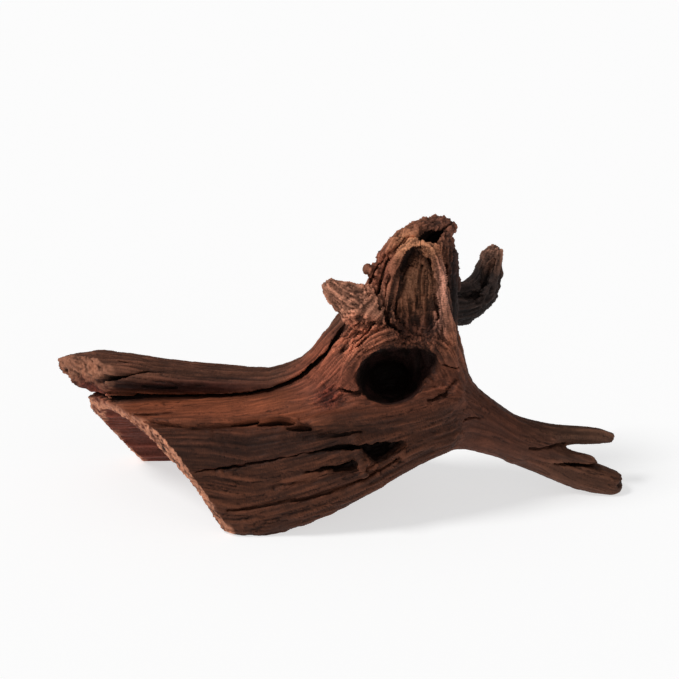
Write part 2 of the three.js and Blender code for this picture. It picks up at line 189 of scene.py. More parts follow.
HOLLOWS = [
    form("knot hole", (0, 0.35, 1), 2.5, [
        (26.5, -38, 86, 18.5, 15.5), (27, -22, 80, 18, 15), (27, 0, 70, 13, 11),
        (27, 10, 66, 11, 8)], steady=0.6),
    form("right end of the knot hole", (0, 0.35, 1), 5, [
        (38, -30, 89.5, 12.5, 9.5), (40, -20, 86.5, 12, 8.5), (36, -4, 79, 10, 8)], steady=0.6),
    form("recess pocket", (0, 1, 0), 3.5, [
        (38, -3, 140, 5, 9), (34, -6, 132, 3.4, 9), (31.5, -8, 122, 2.2, 6),
        (29.5, -9, 112, 1.4, 4)], steady=0.8),
    form("recess slit", (0, 1, 0), 1.5, [
        (47, -3, 138, 1.4, 6), (48.5, -6, 129, 1, 6), (50, -9, 116, 0.8, 6), (51, -11, 107, 0.5, 3)]),
    form("fold 1", (-0.3, 0.9, -0.3), 1, [
        (23, -11, 117, 0.6, 3), (24.5, -13, 109, 1.3, 5), (30, -15, 103, 1.5, 6), (38, -17, 100, 0.8, 4)]),
    form("fold 2", (-0.3, 0.9, -0.3), 1, [
        (28, -9, 113, 0.6, 4), (30, -11, 108, 1.1, 5), (35, -13, 104.5, 1.1, 6), (42, -15, 103, 0.6, 4)]),
    form("top hole", (0, 0, 1), 2, [
        (42, -3, 148, 3, 2.6), (46, 3, 146, 4.5, 4.5), (51, 9, 143, 5, 6)], steady=1.7),
    form("top notch", (0, 0, 1), 1.5, [(49, 0, 156, 2, 5), (53, 4, 150, 2.5, 5)]),
    form("cleft", (0, 1, 0), 1, [
        (-168, 4, 56.4, 1.1, 13), (-135, 3, 57.4, 1.1, 13), (-122, 3, 58.6, 1.1, 13),
        (-75, 2, 60.6, 1.1, 12), (-48, 0, 63, 1.2, 11), (-27, -3, 69.6, 1.4, 10), (-16, -4, 77, 1.4, 9),
        (-6, -5, 88, 1.2, 8), (5, -9, 104, 0.8, 6)], steady=0.35),
    form("limb crack", (0, 0.7, -0.7), 0.8, [
        (-134, -3, 69.5, 2.2, 6), (-126, -3, 71, 2, 6), (-118, -4.5, 72, 1.4, 6), (-102, -4, 75, 0.9, 4),
        (-89, -3, 75.5, 0.8, 4), (-78, 0, 76.5, 0.7, 3), (-66, 3, 77, 0.4, 2)]),
    form("second limb crack", (0, 0.5, -0.9), 0.6, [
        (-118, 2, 79, 0.4, 2), (-100, 1, 79, 0.7, 3), (-84, 2, 78.5, 0.6, 3), (-66, 4, 77.5, 0.3, 2)]),
    form("limb slot", (0, 1, 0), 0.6, [(-104, -6, 66, 0.8, 4), (-86, -6, 66, 0.5, 3)]),
    form("roof crack", (0, 0, 1), 0.6, [
        (-112, -19, 56, 0.6, 2.4), (-97, -20, 58, 0.7, 2.4), (-84, -19, 59.5, 0.4, 1.5)]),
    form("wall crack", (0, 1, -0.2), 1.5, [
        (-75, -46, 35, 0.4, 5), (-61, -45, 37, 0.7, 6), (-51, -44.5, 38.3, 0.8, 6), (-38, -44, 41, 0.6, 5),
        (-24, -44, 43.6, 0.5, 5), (-17, -43.5, 45.6, 0.8, 6), (-3, -41.5, 47.2, 1.2, 6),
        (5, -39, 47, 1.6, 6), (12, -36, 47, 1.6, 6)]),
    form("upper wall crack", (0, 1, -0.2), 0.8, [
        (-40, -40, 50, 0.4, 2), (-22, -41, 52, 0.7, 3), (-4, -40, 53.5, 0.7, 3), (12, -37, 55, 0.4, 2)]),
    form("left hollow", (0, 1, 0), 1.5, [
        (-18, -46, 35.4, 0.6, 4), (-8, -45.5, 36.2, 1.6, 7), (0, -44, 37, 2.6, 9), (6, -42, 38, 2.8, 8)]),
    form("right hollow", (0, 1, 0), 3.5, [
        (15.5, -37, 44.6, 3.6, 12), (20, -36, 43.5, 4.8, 12), (25.5, -36, 45, 3.4, 9),
        (31, -34, 47.5, 1.4, 6)]),
    form("slot 1", (0, 0.6, -0.8), 0.6, [
        (-56, -32, 56.8, 0.3, 3), (-49, -31.5, 57, 1.2, 5), (-43, -31, 57.6, 0.8, 5)]),
    form("slot 2", (0, 0.6, -0.8), 0.6, [
        (-42, -33, 57.6, 0.8, 4), (-34, -32.5, 58.2, 1.7, 6), (-28, -32.5, 58.2, 1.5, 6),
        (-24, -33, 57.8, 0.5, 4)]),
    form("slot 3", (0, 0.6, -0.8), 0.6, [
        (-27, -35.5, 56.8, 0.6, 4), (-21, -35.5, 56.6, 1.5, 5.5), (-15, -36, 56.2, 0.8, 5)]),
    form("crack left of the hole", (0, 1, 0.3), 0.6, [(-1, -27, 74, 0.5, 3), (10, -29, 73, 1, 5)]),
    form("crack right of the hole", (-0.6, 0.8, 0), 0.8, [
        (47, -28, 68, 0.6, 4), (53, -26, 69.5, 1.1, 5), (58, -23.5, 70.4, 1.3, 6), (61, -20, 72, 0.9, 5),
        (64, -16, 75, 0.5, 4)]),
    form("shelf crack", (-0.6, 0.8, 0), 0.8, [
        (47, -24, 86.5, 0.8, 4), (55, -20, 85, 1, 4), (63, -15, 82, 0.5, 3)]),
    form("groove a", (0.4, 0.7, -0.6), 1, [
        (-2, -12, 92, 0.6, 2), (7, -9, 101, 1, 3), (13, -11, 109, 0.7, 2)]),
    form("groove b", (0.4, 0.7, -0.6), 1, [
        (3, -17.5, 91, 0.5, 2), (13, -14, 100, 0.8, 3), (19, -11, 107, 0.6, 2)]),
    form("groove c", (0.4, 0.7, -0.6), 1, [
        (2, -14.5, 91, 0.4, 1.6), (11, -11.5, 101, 0.7, 2.4), (17, -10.5, 108, 0.5, 2)]),
    form("groove d", (0.4, 0.7, -0.6), 1, [
        (9, -21, 92, 0.4, 2), (14, -19, 99, 0.7, 3), (21, -16, 106, 0.5, 2)], steady=0.5),
    form("groove e", (0.4, 0.7, -0.6), 1, [
        (5, -19, 90, 0.4, 2), (12, -17, 98, 0.6, 3), (18, -14, 106, 0.5, 2)], steady=0.5),
    form("flute a", (0.5, 0.85, 0), 1.2, [
        (28, 3, 143, 0.9, 3), (21, 1, 132, 1.2, 4.5), (15, -2, 122, 0.8, 3)], steady=0.4),
    form("flute b", (0.5, 0.85, 0), 1.2, [
        (27, -2, 138, 0.9, 3.5), (22, -4, 128, 1.4, 5), (18, -8, 117, 1, 3.5)], steady=0.4),
    form("flute c", (0.4, 0.9, 0), 1.2, [
        (27, -6, 133, 0.9, 3.5), (23.5, -9, 123, 1.3, 4.5), (21, -12, 114, 0.9, 3.5)], steady=0.4),
    form("flute e", (0.4, 0.9, 0), 1.2, [
        (33, -4, 141, 0.7, 3), (29.5, -9, 132, 1.1, 4), (26.5, -12, 121, 1, 4),
        (24.5, -13, 112, 0.6, 3)], steady=0.4),
    form("flute f", (0.5, 0.85, 0), 1, [
        (31, 1, 147, 0.6, 2.5), (24.5, -1, 135, 0.8, 3), (19, -5, 123, 0.7, 3),
        (16, -9, 114, 0.5, 2)], steady=0.4),
    form("flute d", (0.6, 0.8, 0), 1.2, [
        (23, 5, 138, 0.6, 3), (17, 4, 128, 0.8, 3), (13, 3, 118, 0.6, 2)], steady=0.4),
    form("fork crack", (-0.3, 0.9, 0.1), 0.8, [
        (103, -7, 31, 0.3, 2), (113, -4, 29.5, 0.6, 3), (124, 3, 27.5, 0.9, 5)]),
    form("lower fork crack", (0, 1, -0.2), 0.6, [
        (117, -6, 20.6, 0.4, 5), (124, -5, 19.4, 1.2, 8), (134, -4, 18.2, 1.3, 9),
        (146, -4, 17, 1.2, 8)], steady=0.5),
    form("notch at the lower fork's end", (0, 0, 1), 1, [
        (150, -8, 6.5, 1, 1.2), (155, 0, 6.5, 2.6, 1.6), (158, 8, 7, 3, 2)]),
    form("stub hole", (0, 0, 1), 1, [(75, 24, 104, 1.8, 1.8), (75, 34, 104, 1.5, 1.5)]),
    form("branch crack", (-0.4, 0.9, 0), 0.6, [
        (66, -19.5, 53, 0.3, 2), (70, -17.5, 53.5, 0.5, 3), (75, -15, 52, 0.3, 2)]),
]

# Lines that the grain follows where no limb leads it: round the knot hole, over the body, down the branch.
GRAIN_GUIDES = [
    guide("over the hole", (0, 1, 0), 3, 3, [
        (-24, -20, 64), (-8, -24, 72), (2, -25, 83), (10, -21.5, 92), (19, -18.5, 98), (30, -17, 100.5),
        (42, -16, 99), (52, -16, 93), (60, -17, 82), (68, -14, 68), (84, -10, 53)]),
    guide("left of the hole", (0, 1, 0), 2.5, 3, [
        (-40, -14, 64), (-20, -14, 70), (-8, -14, 82), (2, -14, 93), (10, -13, 103), (18, -12, 112)]),
    guide("under the hole", (0, 1, 0), 2.5, 4, [
        (-40, -36, 57), (-16, -35, 59), (4, -33, 61), (24, -33, 60), (44, -28, 61), (60, -20, 64),
        (70, -14, 62), (90, -9, 46)]),
    guide("lower edge", (0, 1, 0), 2.5, 5, [
        (-46, -44, 12), (-20, -43, 20), (8, -40, 30), (30, -34, 40), (52, -22, 46), (74, -12, 44)]),
    guide("right side", (1, 0, 0), 2.5, 4, [
        (56, -4, 122), (59, -4, 108), (62, -4, 94), (66, -4, 80), (76, -3, 65), (90, 0, 50)]),
    guide("left face of the column", (0, 1, 0), 3, 4, [
        (33, 0, 150), (26, 0, 139), (20, -2, 127), (15, -4, 116), (8, -8, 104)]),
    guide("back", (0, 1, 0), 1.5, 6, [(-20, 30, 55), (10, 28, 66), (36, 26, 82), (46, 24, 104)]),
    dict(name="arch", lean=(0, 1, 0.3), pull=5, points=ARCH_LINE),
]

# The tunnel under the trunk, which is worn wider at its sawn end: the wear is deepest at the saw cut, fades
# over a length along the trunk, and ends at the back.
TUNNEL = dict(name="tunnel", lean=(0, -10, 50), steps=1, points=[(-160, 0, 0, 37, 47), (-40, 0, 0, 37, 47)])
TUNNEL_WEAR = 8.8
TUNNEL_WEAR_LENGTH = 9.0
TUNNEL_WEAR_BACK = 16.0
TUNNEL_SLACK = 2.5

# Flat cuts: the wood lies on the side that the normal points away from. torn is how ragged the cut is,
# fibrous how far its splinters stand out, pale how light its colour is, and room the box that it stays in.
CUTS = [
    dict(name="trunk saw", normal=(-0.696, -0.636, -0.333), point=(-97.9, -22.8, 36.9),
         torn=0.35, fibrous=0.5, pale=1, room=((-BIG, -BIG, -BIG), (BIG, BIG, 58.5))),
    dict(name="limb break", normal=(-0.647, -0.762, -0.03), point=(-137.8, 7.8, 71.9),
         torn=0.8, fibrous=1.7, pale=0.5, room=((-BIG, -14, 57.5), (-119, BIG, BIG))),
    dict(name="limb underside", normal=(-0.4, 0, -0.917), point=(-136, 5, 57.2),
         torn=0.5, fibrous=0.6, pale=0.1, room=((-BIG, -BIG, 57.5), (-128, BIG, BIG))),
    dict(name="roof tip", normal=(-0.93, -0.3, -0.2), point=(-134.5, 4, 57),
         torn=0.5, fibrous=0.4, pale=0.8, room=((-BIG, -BIG, 40), (BIG, BIG, 58))),
    dict(name="roof corner", normal=(-0.6, 0, 0.8), point=(-127.6, 5, 59.2),
         torn=0.6, fibrous=0.5, pale=0.1, room=((-BIG, -BIG, 40), (-115, BIG, 58))),
    dict(name="upper fork end", normal=(1, -0.1, -0.25), point=(151, 14, 28),
         torn=0.7, fibrous=0.5, pale=0.15, room=((140, -BIG, 20), (BIG, BIG, 40))),
    dict(name="back saw", normal=(-0.731, -0.413, -0.621), point=(-139.6, 8, 54),
         torn=0.4, fibrous=0.3, pale=0.9, room=((-BIG, 6, -BIG), (BIG, BIG, 57))),
    dict(name="fork step", normal=(0.75, 0, 0.66), point=(141, 0, 19),
         torn=0.6, fibrous=0.6, pale=0.1, room=((134, -BIG, 14), (BIG, BIG, 26))),
]


def curve_points(points, count):
    """Points on a smooth curve through the given ones, with their sizes."""
    points = np.array(points, float)
    padded = np.vstack([2 * points[0] - points[1], points, 2 * points[-1] - points[-2]])
    made = []
    for share in np.linspace(0, len(points) - 1, count + 1):
        i = min(int(share), len(points) - 2)
        t = share - i
        before, start, end, after = padded[i : i + 4]
        slope_start = 0.5 * (end - before)
        slope_end = 0.5 * (after - start)
        made.append(start + slope_start * t + (3 * (end - start) - 2 * slope_start - slope_end) * t**2
                    + (2 * (start - end) + slope_start + slope_end) * t**3)
    return np.array(made)


def limb_distance(places, limb, want_along=False):
    """How far each place is outside a limb, and if asked the limb's direction near it."""
    line = curve_points(limb["points"], limb.get("steps", LIMB_STEPS))
    lean = np.array(limb["lean"], float)
    power = limb.get("power", 2)
    nearest = np.full(len(places), BIG, np.float32)
    direction = np.zeros((len(places), 3), np.float32) if want_along else None
    for start, end in zip(line[:-1], line[1:]):
        along = end[:3] - start[:3]
        length = np.linalg.norm(along)
        along /= length
        high = lean - lean.dot(along) * along
        high /= np.linalg.norm(high)
        across = np.cross(along, high)
        axes = np.array([along, across, high], np.float32)
        local = (places - start[:3].astype(np.float32)) @ axes.T
        share = np.clip(local[:, 0] / length, 0, 1)
        beyond = local[:, 0] - share * length
        size_across = start[3] + (end[3] - start[3]) * share
        size_high = start[4] + (end[4] - start[4]) * share
        size_end = np.minimum(size_across, size_high)
        section = (np.abs(local[:, 1]) / size_across) ** power + (np.abs(local[:, 2]) / size_high) ** power
        ratio = np.sqrt(section ** (2 / power) + (beyond / size_end) ** 2) + 1e-6
        reach = np.sqrt(local[:, 1] ** 2 + local[:, 2] ** 2 + beyond**2)
        distance = reach * (1 - 1 / ratio)
        closer = distance < nearest
        nearest = np.where(closer, distance, nearest)
        if want_along:
            direction[closer] = along
    return (nearest, direction) if want_along else nearest


def smooth_min(a, b, blend):
    """The smaller of two distances, rounded off over the blend where they are nearly equal."""
    h = np.maximum(blend - np.abs(a - b), 0)
    return np.minimum(a, b) - h * h / (4 * blend)


def block_round(limb, origin, cell, shape, margin):
    """The block of a grid that a limb and its surroundings take up, and the grid's axes there."""
    points = np.array(limb["points"], float)
    size = points[:, 3:5].max() + margin
    low = np.maximum(np.floor((points[:, :3].min(0) - size - origin) / cell), 0).astype(int)
    high = np.minimum(np.ceil((points[:, :3].max(0) + size - origin) / cell) + 1, shape).astype(int)
    block = tuple(slice(a, b) for a, b in zip(low, high))
    axes = [origin[k] + cell * np.arange(low[k], high[k]) for k in range(3)]
    return block, axes


def all_places(axes):
    """Every place of a block of a grid, one in each row."""
    return np.stack(np.meshgrid(*axes, indexing="ij"), -1).reshape(-1, 3).astype(np.float32)


def near_line(limb, axes, margin):
    """Which places of a block are near a limb's line."""
    line = curve_points(limb["points"], LIMB_STEPS)
    near = np.zeros([len(axis) for axis in axes], bool)
    for start, end in zip(line[:-1], line[1:]):
        size = max(start[3:].max(), end[3:].max()) + margin
        low = np.minimum(start, end)[:3] - size
        high = np.maximum(start, end)[:3] + size
        near[tuple(slice(*np.searchsorted(axis, (a, b))) for axis, a, b in zip(axes, low, high))] = True
    return near


def refined(values, factor):
    """A grid refined by a factor along each axis, by smooth interpolation."""
    for axis in range(3):
        count = values.shape[axis]
        at = np.arange((count - 1) * factor + 1) / factor
        i = np.minimum(at.astype(int), count - 2)
        t = (at - i).astype(np.float32)
        shares = (
            (-t + 2 * t**2 - t**3) / 2,
            (2 - 5 * t**2 + 3 * t**3) / 2,
            (t + 4 * t**2 - 3 * t**3) / 2,
            (t**3 - t**2) / 2,
        )
        side = [1, 1, 1]
        side[axis] = len(at)
        total = 0
        for step, share in zip((-1, 0, 1, 2), shares):
            total = total + share.reshape(side) * np.take(values, np.clip(i + step, 0, count - 1), axis)
        values = total
    return values


TABLE_SIZE = 64
RANDOM = np.random.default_rng(7)
TABLES = [RANDOM.uniform(-1, 1, (TABLE_SIZE,) * 3).astype(np.float32) for _ in range(4)]


def noise(places, cell, table=0):
    """Smooth noise, about -1 to 1, whose lumps are about cell across."""
    at = places / cell
    floor = np.floor(at)
    t = (at - floor).astype(np.float32)
    t = t * t * (3 - 2 * t)
    i = floor.astype(np.int32) % TABLE_SIZE
    j = (i + 1) % TABLE_SIZE
    flat = TABLES[table].ravel()
    total = 0
    for corner in itertools.product((0, 1), repeat=3):
        x, y, z = [(j if upper else i)[:, k] for k, upper in enumerate(corner)]
        share_x, share_y, share_z = [t[:, k] if upper else 1 - t[:, k] for k, upper in enumerate(corner)]
        total = total + share_x * share_y * share_z * flat[(x * TABLE_SIZE + y) * TABLE_SIZE + z]
    return total


def mixed_noise(places, layers):
    """Noise of several sizes added up: each layer's cell, table and strength."""
    return sum(strength * noise(places, cell, table) for cell, table, strength in layers)


# How far one limb's grain, relief and colour reach into the next, and a guide's into the limbs.
LIMB_REACH = 2.5
GUIDE_REACH = 3.0
GUIDE_NEAR = 8.0
SLIGHT_PULL = 1e-4  # keeps the grain's direction defined where nothing leads it

# The sizes of the ragged edge of a cut: cell, table and strength. Fibres are long along X.
RAGGED_LAYERS = ((3.1, 1, 0.6), (1.4, 2, 0.6), (8, 3, 0.5))
FIBRE_LAYERS = ((2.2, 0, 0.8), (5.5, 1, 0.5))
FIBRE_STRETCH = np.array([0.12, 1, 1])
CUT_NEAR = 6  # how far from its plane a cut is ragged
SKIN_NEAR = 4  # and how far outside the wood
WEAR_NEAR = 12  # how far outside the wood the tunnel's wear is worked out


class Wood:
    """The wood's distance field on a fine grid, and its grain, relief and colour on the coarse one."""

    def __init__(self):
        self.shape = np.ceil((GRID_HIGH - GRID_LOW) / COARSE).astype(int) + 1
        self.low = GRID_LOW
        self.grow_limbs()
        self.field = refined(self.coarse, REFINE)
        for small in SWELLINGS:
            self.join(small, 1)
        for small in OPEN_HOLLOWS:
            self.join(small, -1)
        # The skin, taken before the shaded hollows are cut, gives the depth of the painted shade inside
        # them.
        self.skin = self.field.copy()
        for small in HOLLOWS:
            self.join(small, -1)
        for cut in CUTS:
            self.saw(cut)
        self.stand()

    def grow_limbs(self):
        """Joins the limbs on the coarse grid."""
        distances = []
        directions = []
        whole = np.full(self.shape, BIG, np.float32)
        for limb in LIMBS:
            block, axes = block_round(limb, self.low, COARSE, self.shape, NEAR)
            own, along = limb_distance(all_places(axes), limb, want_along=True)
            shape = whole[block].shape
            distance = np.full(self.shape, BIG, np.float32)
            distance[block] = own.reshape(shape)
            direction = np.zeros((*self.shape, 3), np.float32)
            direction[block] = along.reshape(*shape, 3)
            whole = smooth_min(whole, distance, limb["blend"])
            distances.append(distance)
            directions.append(direction)
        self.coarse = np.clip(whole, -FAR, FAR)
        self.share_out(distances, directions)

    def share_out(self, distances, directions):
        """Each place's grain, relief and colour, from the limbs near it. The body itself has no grain."""
        nearest = np.min(distances, axis=0)
        total = np.zeros(self.shape, np.float32)
        self.tensor = np.zeros((*self.shape, 3, 3), np.float32)
        self.rough = np.zeros(self.shape, np.float32)
        self.tint = np.zeros((*self.shape, 3), np.float32)
        for limb, distance, direction in zip(LIMBS, distances, directions):
            weight = np.exp(-np.clip(distance - nearest, 0, 2 * FAR) / LIMB_REACH)
            total += weight
            self.rough += weight * limb["rough"]
            self.tint += weight[..., None] * limb["tint"].astype(np.float32)
            if limb["name"] != "body":
                pull = (weight * (distance < BIG))[..., None, None]
                self.tensor += pull * direction[..., :, None] * direction[..., None, :]
        self.rough /= total
        self.tint /= total[..., None]
        for line in GRAIN_GUIDES:
            block, axes = block_round(line, self.low, COARSE, self.shape, GUIDE_NEAR)
            distance, along = limb_distance(all_places(axes), line, want_along=True)
            weight = line["pull"] * np.exp(-np.clip(distance, 0, 2 * FAR) / GUIDE_REACH)
            own = weight[:, None, None] * along[:, :, None] * along[:, None, :]
            self.tensor[block] += own.reshape(*self.tensor[block].shape)
        self.tensor += SLIGHT_PULL * np.eye(3, dtype=np.float32)

    def join(self, small, sign):
        """Adds a small form to the wood, or with a sign of -1 takes it out."""
        block, axes = block_round(small, self.low, CELL, self.field.shape, FINE_NEAR)
        part = self.field[block]
        near = near_line(small, axes, FINE_NEAR)
        places = np.stack([axis[at] for axis, at in zip(axes, np.nonzero(near))], 1).astype(np.float32)
        if sign < 0:
            places += small["steady"] * self.wander(places)
        part[near] = sign * smooth_min(sign * part[near], limb_distance(places, small), small["blend"])

    def wander(self, places):
        """Small shifts that make the edges of hollows and cracks uneven."""
        sideways, upward = [mixed_noise(places, ((7, table, 0.9), (2.4, table, 0.5))) for table in (0, 1)]
        return np.stack([sideways, 0.5 * (sideways - upward), upward], 1).astype(np.float32)

    def saw(self, cut):
        """Cuts the wood off along a ragged plane. The trunk's cut also wears its tunnel wider."""
        low, high = [np.array(corner, float) for corner in cut["room"]]
        first = np.clip(np.ceil((low - self.low) / CELL), 0, self.field.shape).astype(int)
        last = np.clip(np.floor((high - self.low) / CELL) + 1, 0, self.field.shape).astype(int)
        block = tuple(slice(a, b) for a, b in zip(first, last))
        normal = np.array(cut["normal"], float)
        normal /= np.linalg.norm(normal)
        x, y, z = [normal[k] * (self.low[k] + CELL * np.arange(first[k], last[k])) for k in range(3)]
        plane = x[:, None, None] + y[None, :, None] + z[None, None, :] - normal.dot(cut["point"])
        part = self.field[block]
        close = (np.abs(plane) < CUT_NEAR) & (part < SKIN_NEAR)
        places = self.low + CELL * (np.argwhere(close) + first)
        ragged = np.zeros(part.shape, np.float32)
        ragged[close] = cut["torn"] * mixed_noise(places, RAGGED_LAYERS)
        ragged[close] += cut["fibrous"] * mixed_noise(places * FIBRE_STRETCH, FIBRE_LAYERS)
        cutter = plane + ragged
        if cut["name"] == "trunk saw":
            near = (np.abs(plane) < 3.5 * TUNNEL_WEAR_LENGTH) & (part < WEAR_NEAR)
            places = (self.low + CELL * (np.argwhere(near) + first)).astype(np.float32)
            wear = TUNNEL_WEAR * np.clip((TUNNEL_WEAR_BACK - places[:, 1]) / TUNNEL_WEAR_BACK, 0, 1)
            wear = wear * np.exp(plane[near] / TUNNEL_WEAR_LENGTH)
            worn = limb_distance(places, TUNNEL) + TUNNEL_SLACK - wear
            cutter[near] = np.maximum(cutter[near], -worn - 0.6 * noise(places, 6, 2))
        self.field[block] = np.maximum(part, cutter)
        self.skin[block] = np.maximum(self.skin[block], cutter)

    def stand(self):
        """Takes away what is below the floor."""
        heights = self.low[2] + CELL * np.arange(self.field.shape[2])
        self.field = np.maximum(self.field, -heights[None, None, :].astype(np.float32))


QUAD_CORNERS = ((0, 0), (1, 0), (1, 1), (0, 1))


def surface_net(field, low, cell):
    """The surface where a field is zero, as vertices and four-sided faces."""
    inside = field < 0
    cells = tuple(n - 1 for n in field.shape)
    corners = np.zeros(cells, np.int8)
    for offset in itertools.product((0, 1), repeat=3):
        corners += inside[tuple(slice(o, o + n) for o, n in zip(offset, cells))]
    crossed = (corners > 0) & (corners < 8)
    number = np.full(cells, -1, np.int32)
    where = np.argwhere(crossed)
    number[crossed] = np.arange(len(where))
    total = np.zeros((len(where), 3))
    hits = np.zeros(len(where))
    units = np.eye(3, dtype=int)
    for axis in range(3):
        for side in itertools.product((0, 1), repeat=2):
            offset = np.insert(side, axis, 0)
            start = field[tuple((where + offset).T)]
            end = field[tuple((where + offset + units[axis]).T)]
            change = (start < 0) != (end < 0)
            share = np.where(change, start / np.where(change, start - end, 1), 0)
            total += change[:, None] * (offset + share[:, None] * units[axis])
            hits += change
    vertices = low + cell * (where + total / hits[:, None])
    faces = []
    for axis in range(3):
        first = np.take(inside, range(cells[axis]), axis)
        second = np.take(inside, range(1, cells[axis] + 1), axis)
        edges = np.argwhere(first != second)
        next_axis = (axis + 1) % 3
        last_axis = (axis + 2) % 3
        u = edges[:, next_axis]
        v = edges[:, last_axis]
        edges = edges[(u > 0) & (v > 0) & (u < cells[next_axis]) & (v < cells[last_axis])]
        around = [edges - a * units[next_axis] - b * units[last_axis] for a, b in QUAD_CORNERS]
        quad = np.stack([number[tuple(corner.T)] for corner in around], 1)
        turned = ~first[tuple(edges.T)]
        quad[turned] = quad[turned][:, ::-1]
        faces.append(quad)
    return vertices, np.concatenate(faces)


def largest_body(vertices, faces):
    """Drops all that isn't joined to the largest body."""
    label = np.arange(len(vertices))
    sides = np.concatenate([faces[:, [0, 1]], faces[:, [1, 2]], faces[:, [2, 3]]])
    while True:
        before = label.copy()
        lowest = np.minimum(label[sides[:, 0]], label[sides[:, 1]])
        np.minimum.at(label, sides[:, 0], lowest)
        np.minimum.at(label, sides[:, 1], lowest)
        label = label[label]
        if (label == before).all():
            break
    keep = label == np.bincount(label).argmax()
    number = np.cumsum(keep) - 1
    return vertices[keep], number[faces[keep[faces].all(1)]]


def vertex_normals(vertices, faces):
    """The direction in which the skin faces at each vertex."""
    across = vertices[faces[:, 2]] - vertices[faces[:, 0]]
    down = vertices[faces[:, 3]] - vertices[faces[:, 1]]
    face_normal = np.cross(across, down)
    normals = np.zeros_like(vertices)
    for corner in range(4):
        for axis in range(3):
            normals[:, axis] += np.bincount(faces[:, corner], face_normal[:, axis], len(vertices))
    return normals / np.maximum(np.linalg.norm(normals, axis=1, keepdims=True), 1e-9)


def at_places(values, low, cell, places):
    """Values of a grid at places, blended between its nodes."""
    at = np.clip((places - low) / cell, 0, np.array(values.shape[:3]) - 1.001)
    i = at.astype(int)
    t = at - i
    total = 0
    for offset in itertools.product((0, 1), repeat=3):
        share = np.prod(np.where(offset, t, 1 - t), axis=1)
        value = values[i[:, 0] + offset[0], i[:, 1] + offset[1], i[:, 2] + offset[2]]
        total = total + (share if value.ndim == 1 else share[:, None]) * value
    return total


GRAIN_STEP = 1.2
GRAIN_STEPS = 26
FIRST_HEADING = np.array([1.0, 0.3, 0.6])
HEADING_ROUNDS = 6
# Three widths of streak: the noise's cell, its table, how many steps each way it is drawn out, and every
# how many steps it is looked at.
STREAKS = [(0.8, 0, 8, 1), (1.6, 1, 18, 1), (4.6, 2, 26, 3)]


def streaks(wood, places):
    """Noise drawn out along the grain, in three widths, each about -2 to 2."""
    totals = [np.zeros(len(places), np.float32) for _ in STREAKS]
    size = np.array(wood.tensor.shape[:3])
    flat = wood.tensor.reshape(-1, 3, 3)

    def pull(at):
        i = np.clip(np.rint((at - wood.low) / COARSE).astype(int), 0, size - 1)
        return flat[(i[:, 0] * size[1] + i[:, 1]) * size[2] + i[:, 2]]

    def turned(tensor, heading):
        heading = np.einsum("nij,nj->ni", tensor, heading)
        return heading / np.linalg.norm(heading, axis=1, keepdims=True)

    start = np.tile(FIRST_HEADING, (len(places), 1))
    tensor = pull(places)
    for _ in range(HEADING_ROUNDS):
        start = turned(tensor, start)
    for sign in (1, -1):
        at = places.copy()
        heading = start * sign
        for step in range(GRAIN_STEPS):
            for total, (cell, table, steps, every) in zip(totals, STREAKS):
                if step < steps and step % every == 0 and (step or sign > 0):
                    total += noise(at, cell, table)
            at = at + GRAIN_STEP * heading
            heading = turned(pull(at), heading)
    return [(total - total.mean()) / total.std() for total in totals]


# Places where the relief is deeper or shallower, and places that crumble: centre, reach and depth.
ROUGH_PLACES = [
    ((38, 0, 126), (26, 22, 26), 2.1),
    ((10, -15, 98), (16, 12, 14), 2.4),
    ((30, -20, 98), (34, 12, 9), 2.2),
    ((-6, -26, 72), (10, 8, 8), 1.8),
    ((20, -2, 128), (10, 14, 24), 1.9),
    ((53, -11, 122), (5, 6, 26), 2.2),
    ((2, -10, 118), (14, 8, 10), 1.5),
    ((12, -1, 132), (5, 5, 5), 0.6),
]
CRUMBLY_PLACES = [
    ((56, 8, 152), (10, 12, 7), 0.5),
    ((61, 10, 134), (8, 12, 22), 0.8),
    ((78, 37, 104), (16, 16, 14), 0.7),
    ((84, 44, 124), (8, 8, 9), 0.7),
    ((-6, -26, 71), (8, 6, 6), 0.8),
    ((2, -12, 116), (12, 8, 10), 0.8),
    ((24, -16, 104), (12, 6, 4), 0.6),
    ((-126, -8, 58), (10, 14, 4), 0.8),
    ((-140, 4, 70), (10, 14, 10), 1),
]
CRUMB_LAYERS = ((2.2, 0, 1), (1, 1, 0.8))
CRACK_WIDTH = 0.16  # how much of the middle streaks' range a crack takes up, and a slit of the fine ones'
SLIT_WIDTH = 0.22
CUT_FADE = 4  # how softly a cut's colour ends at the sides of its room


def soft_share(places, centre, reach):
    """1 in the middle of an ellipsoid, falling smoothly to 0 at one and a half times its reach."""
    away = np.sqrt((((places - np.array(centre)) / np.array(reach)) ** 2).sum(1))
    return np.clip(1.5 - away, 0, 1) ** 1.3


def sawn_share(places, normals):
    """How much of each place's colour is bare wood, on the saw cuts and broken ends."""
    sawn = np.zeros(len(places))
    for cut in CUTS:
        normal = np.array(cut["normal"]) / np.linalg.norm(cut["normal"])
        low, high = np.array(cut["room"])
        height = (places - np.array(cut["point"])) @ normal
        near = np.clip(1.5 + 1.2 * cut["torn"] + 1.2 * cut["fibrous"] - np.abs(height), 0, 1)
        facing = np.clip((normals @ normal - (0.66 if cut["fibrous"] < 1 else 0.25)) / 0.12, 0, 1)
        inside = np.clip(np.minimum(places - low, high - places).min(1) / CUT_FADE, 0, 1)
        sawn = np.maximum(sawn, cut["pale"] * near * facing * inside)
    return sawn


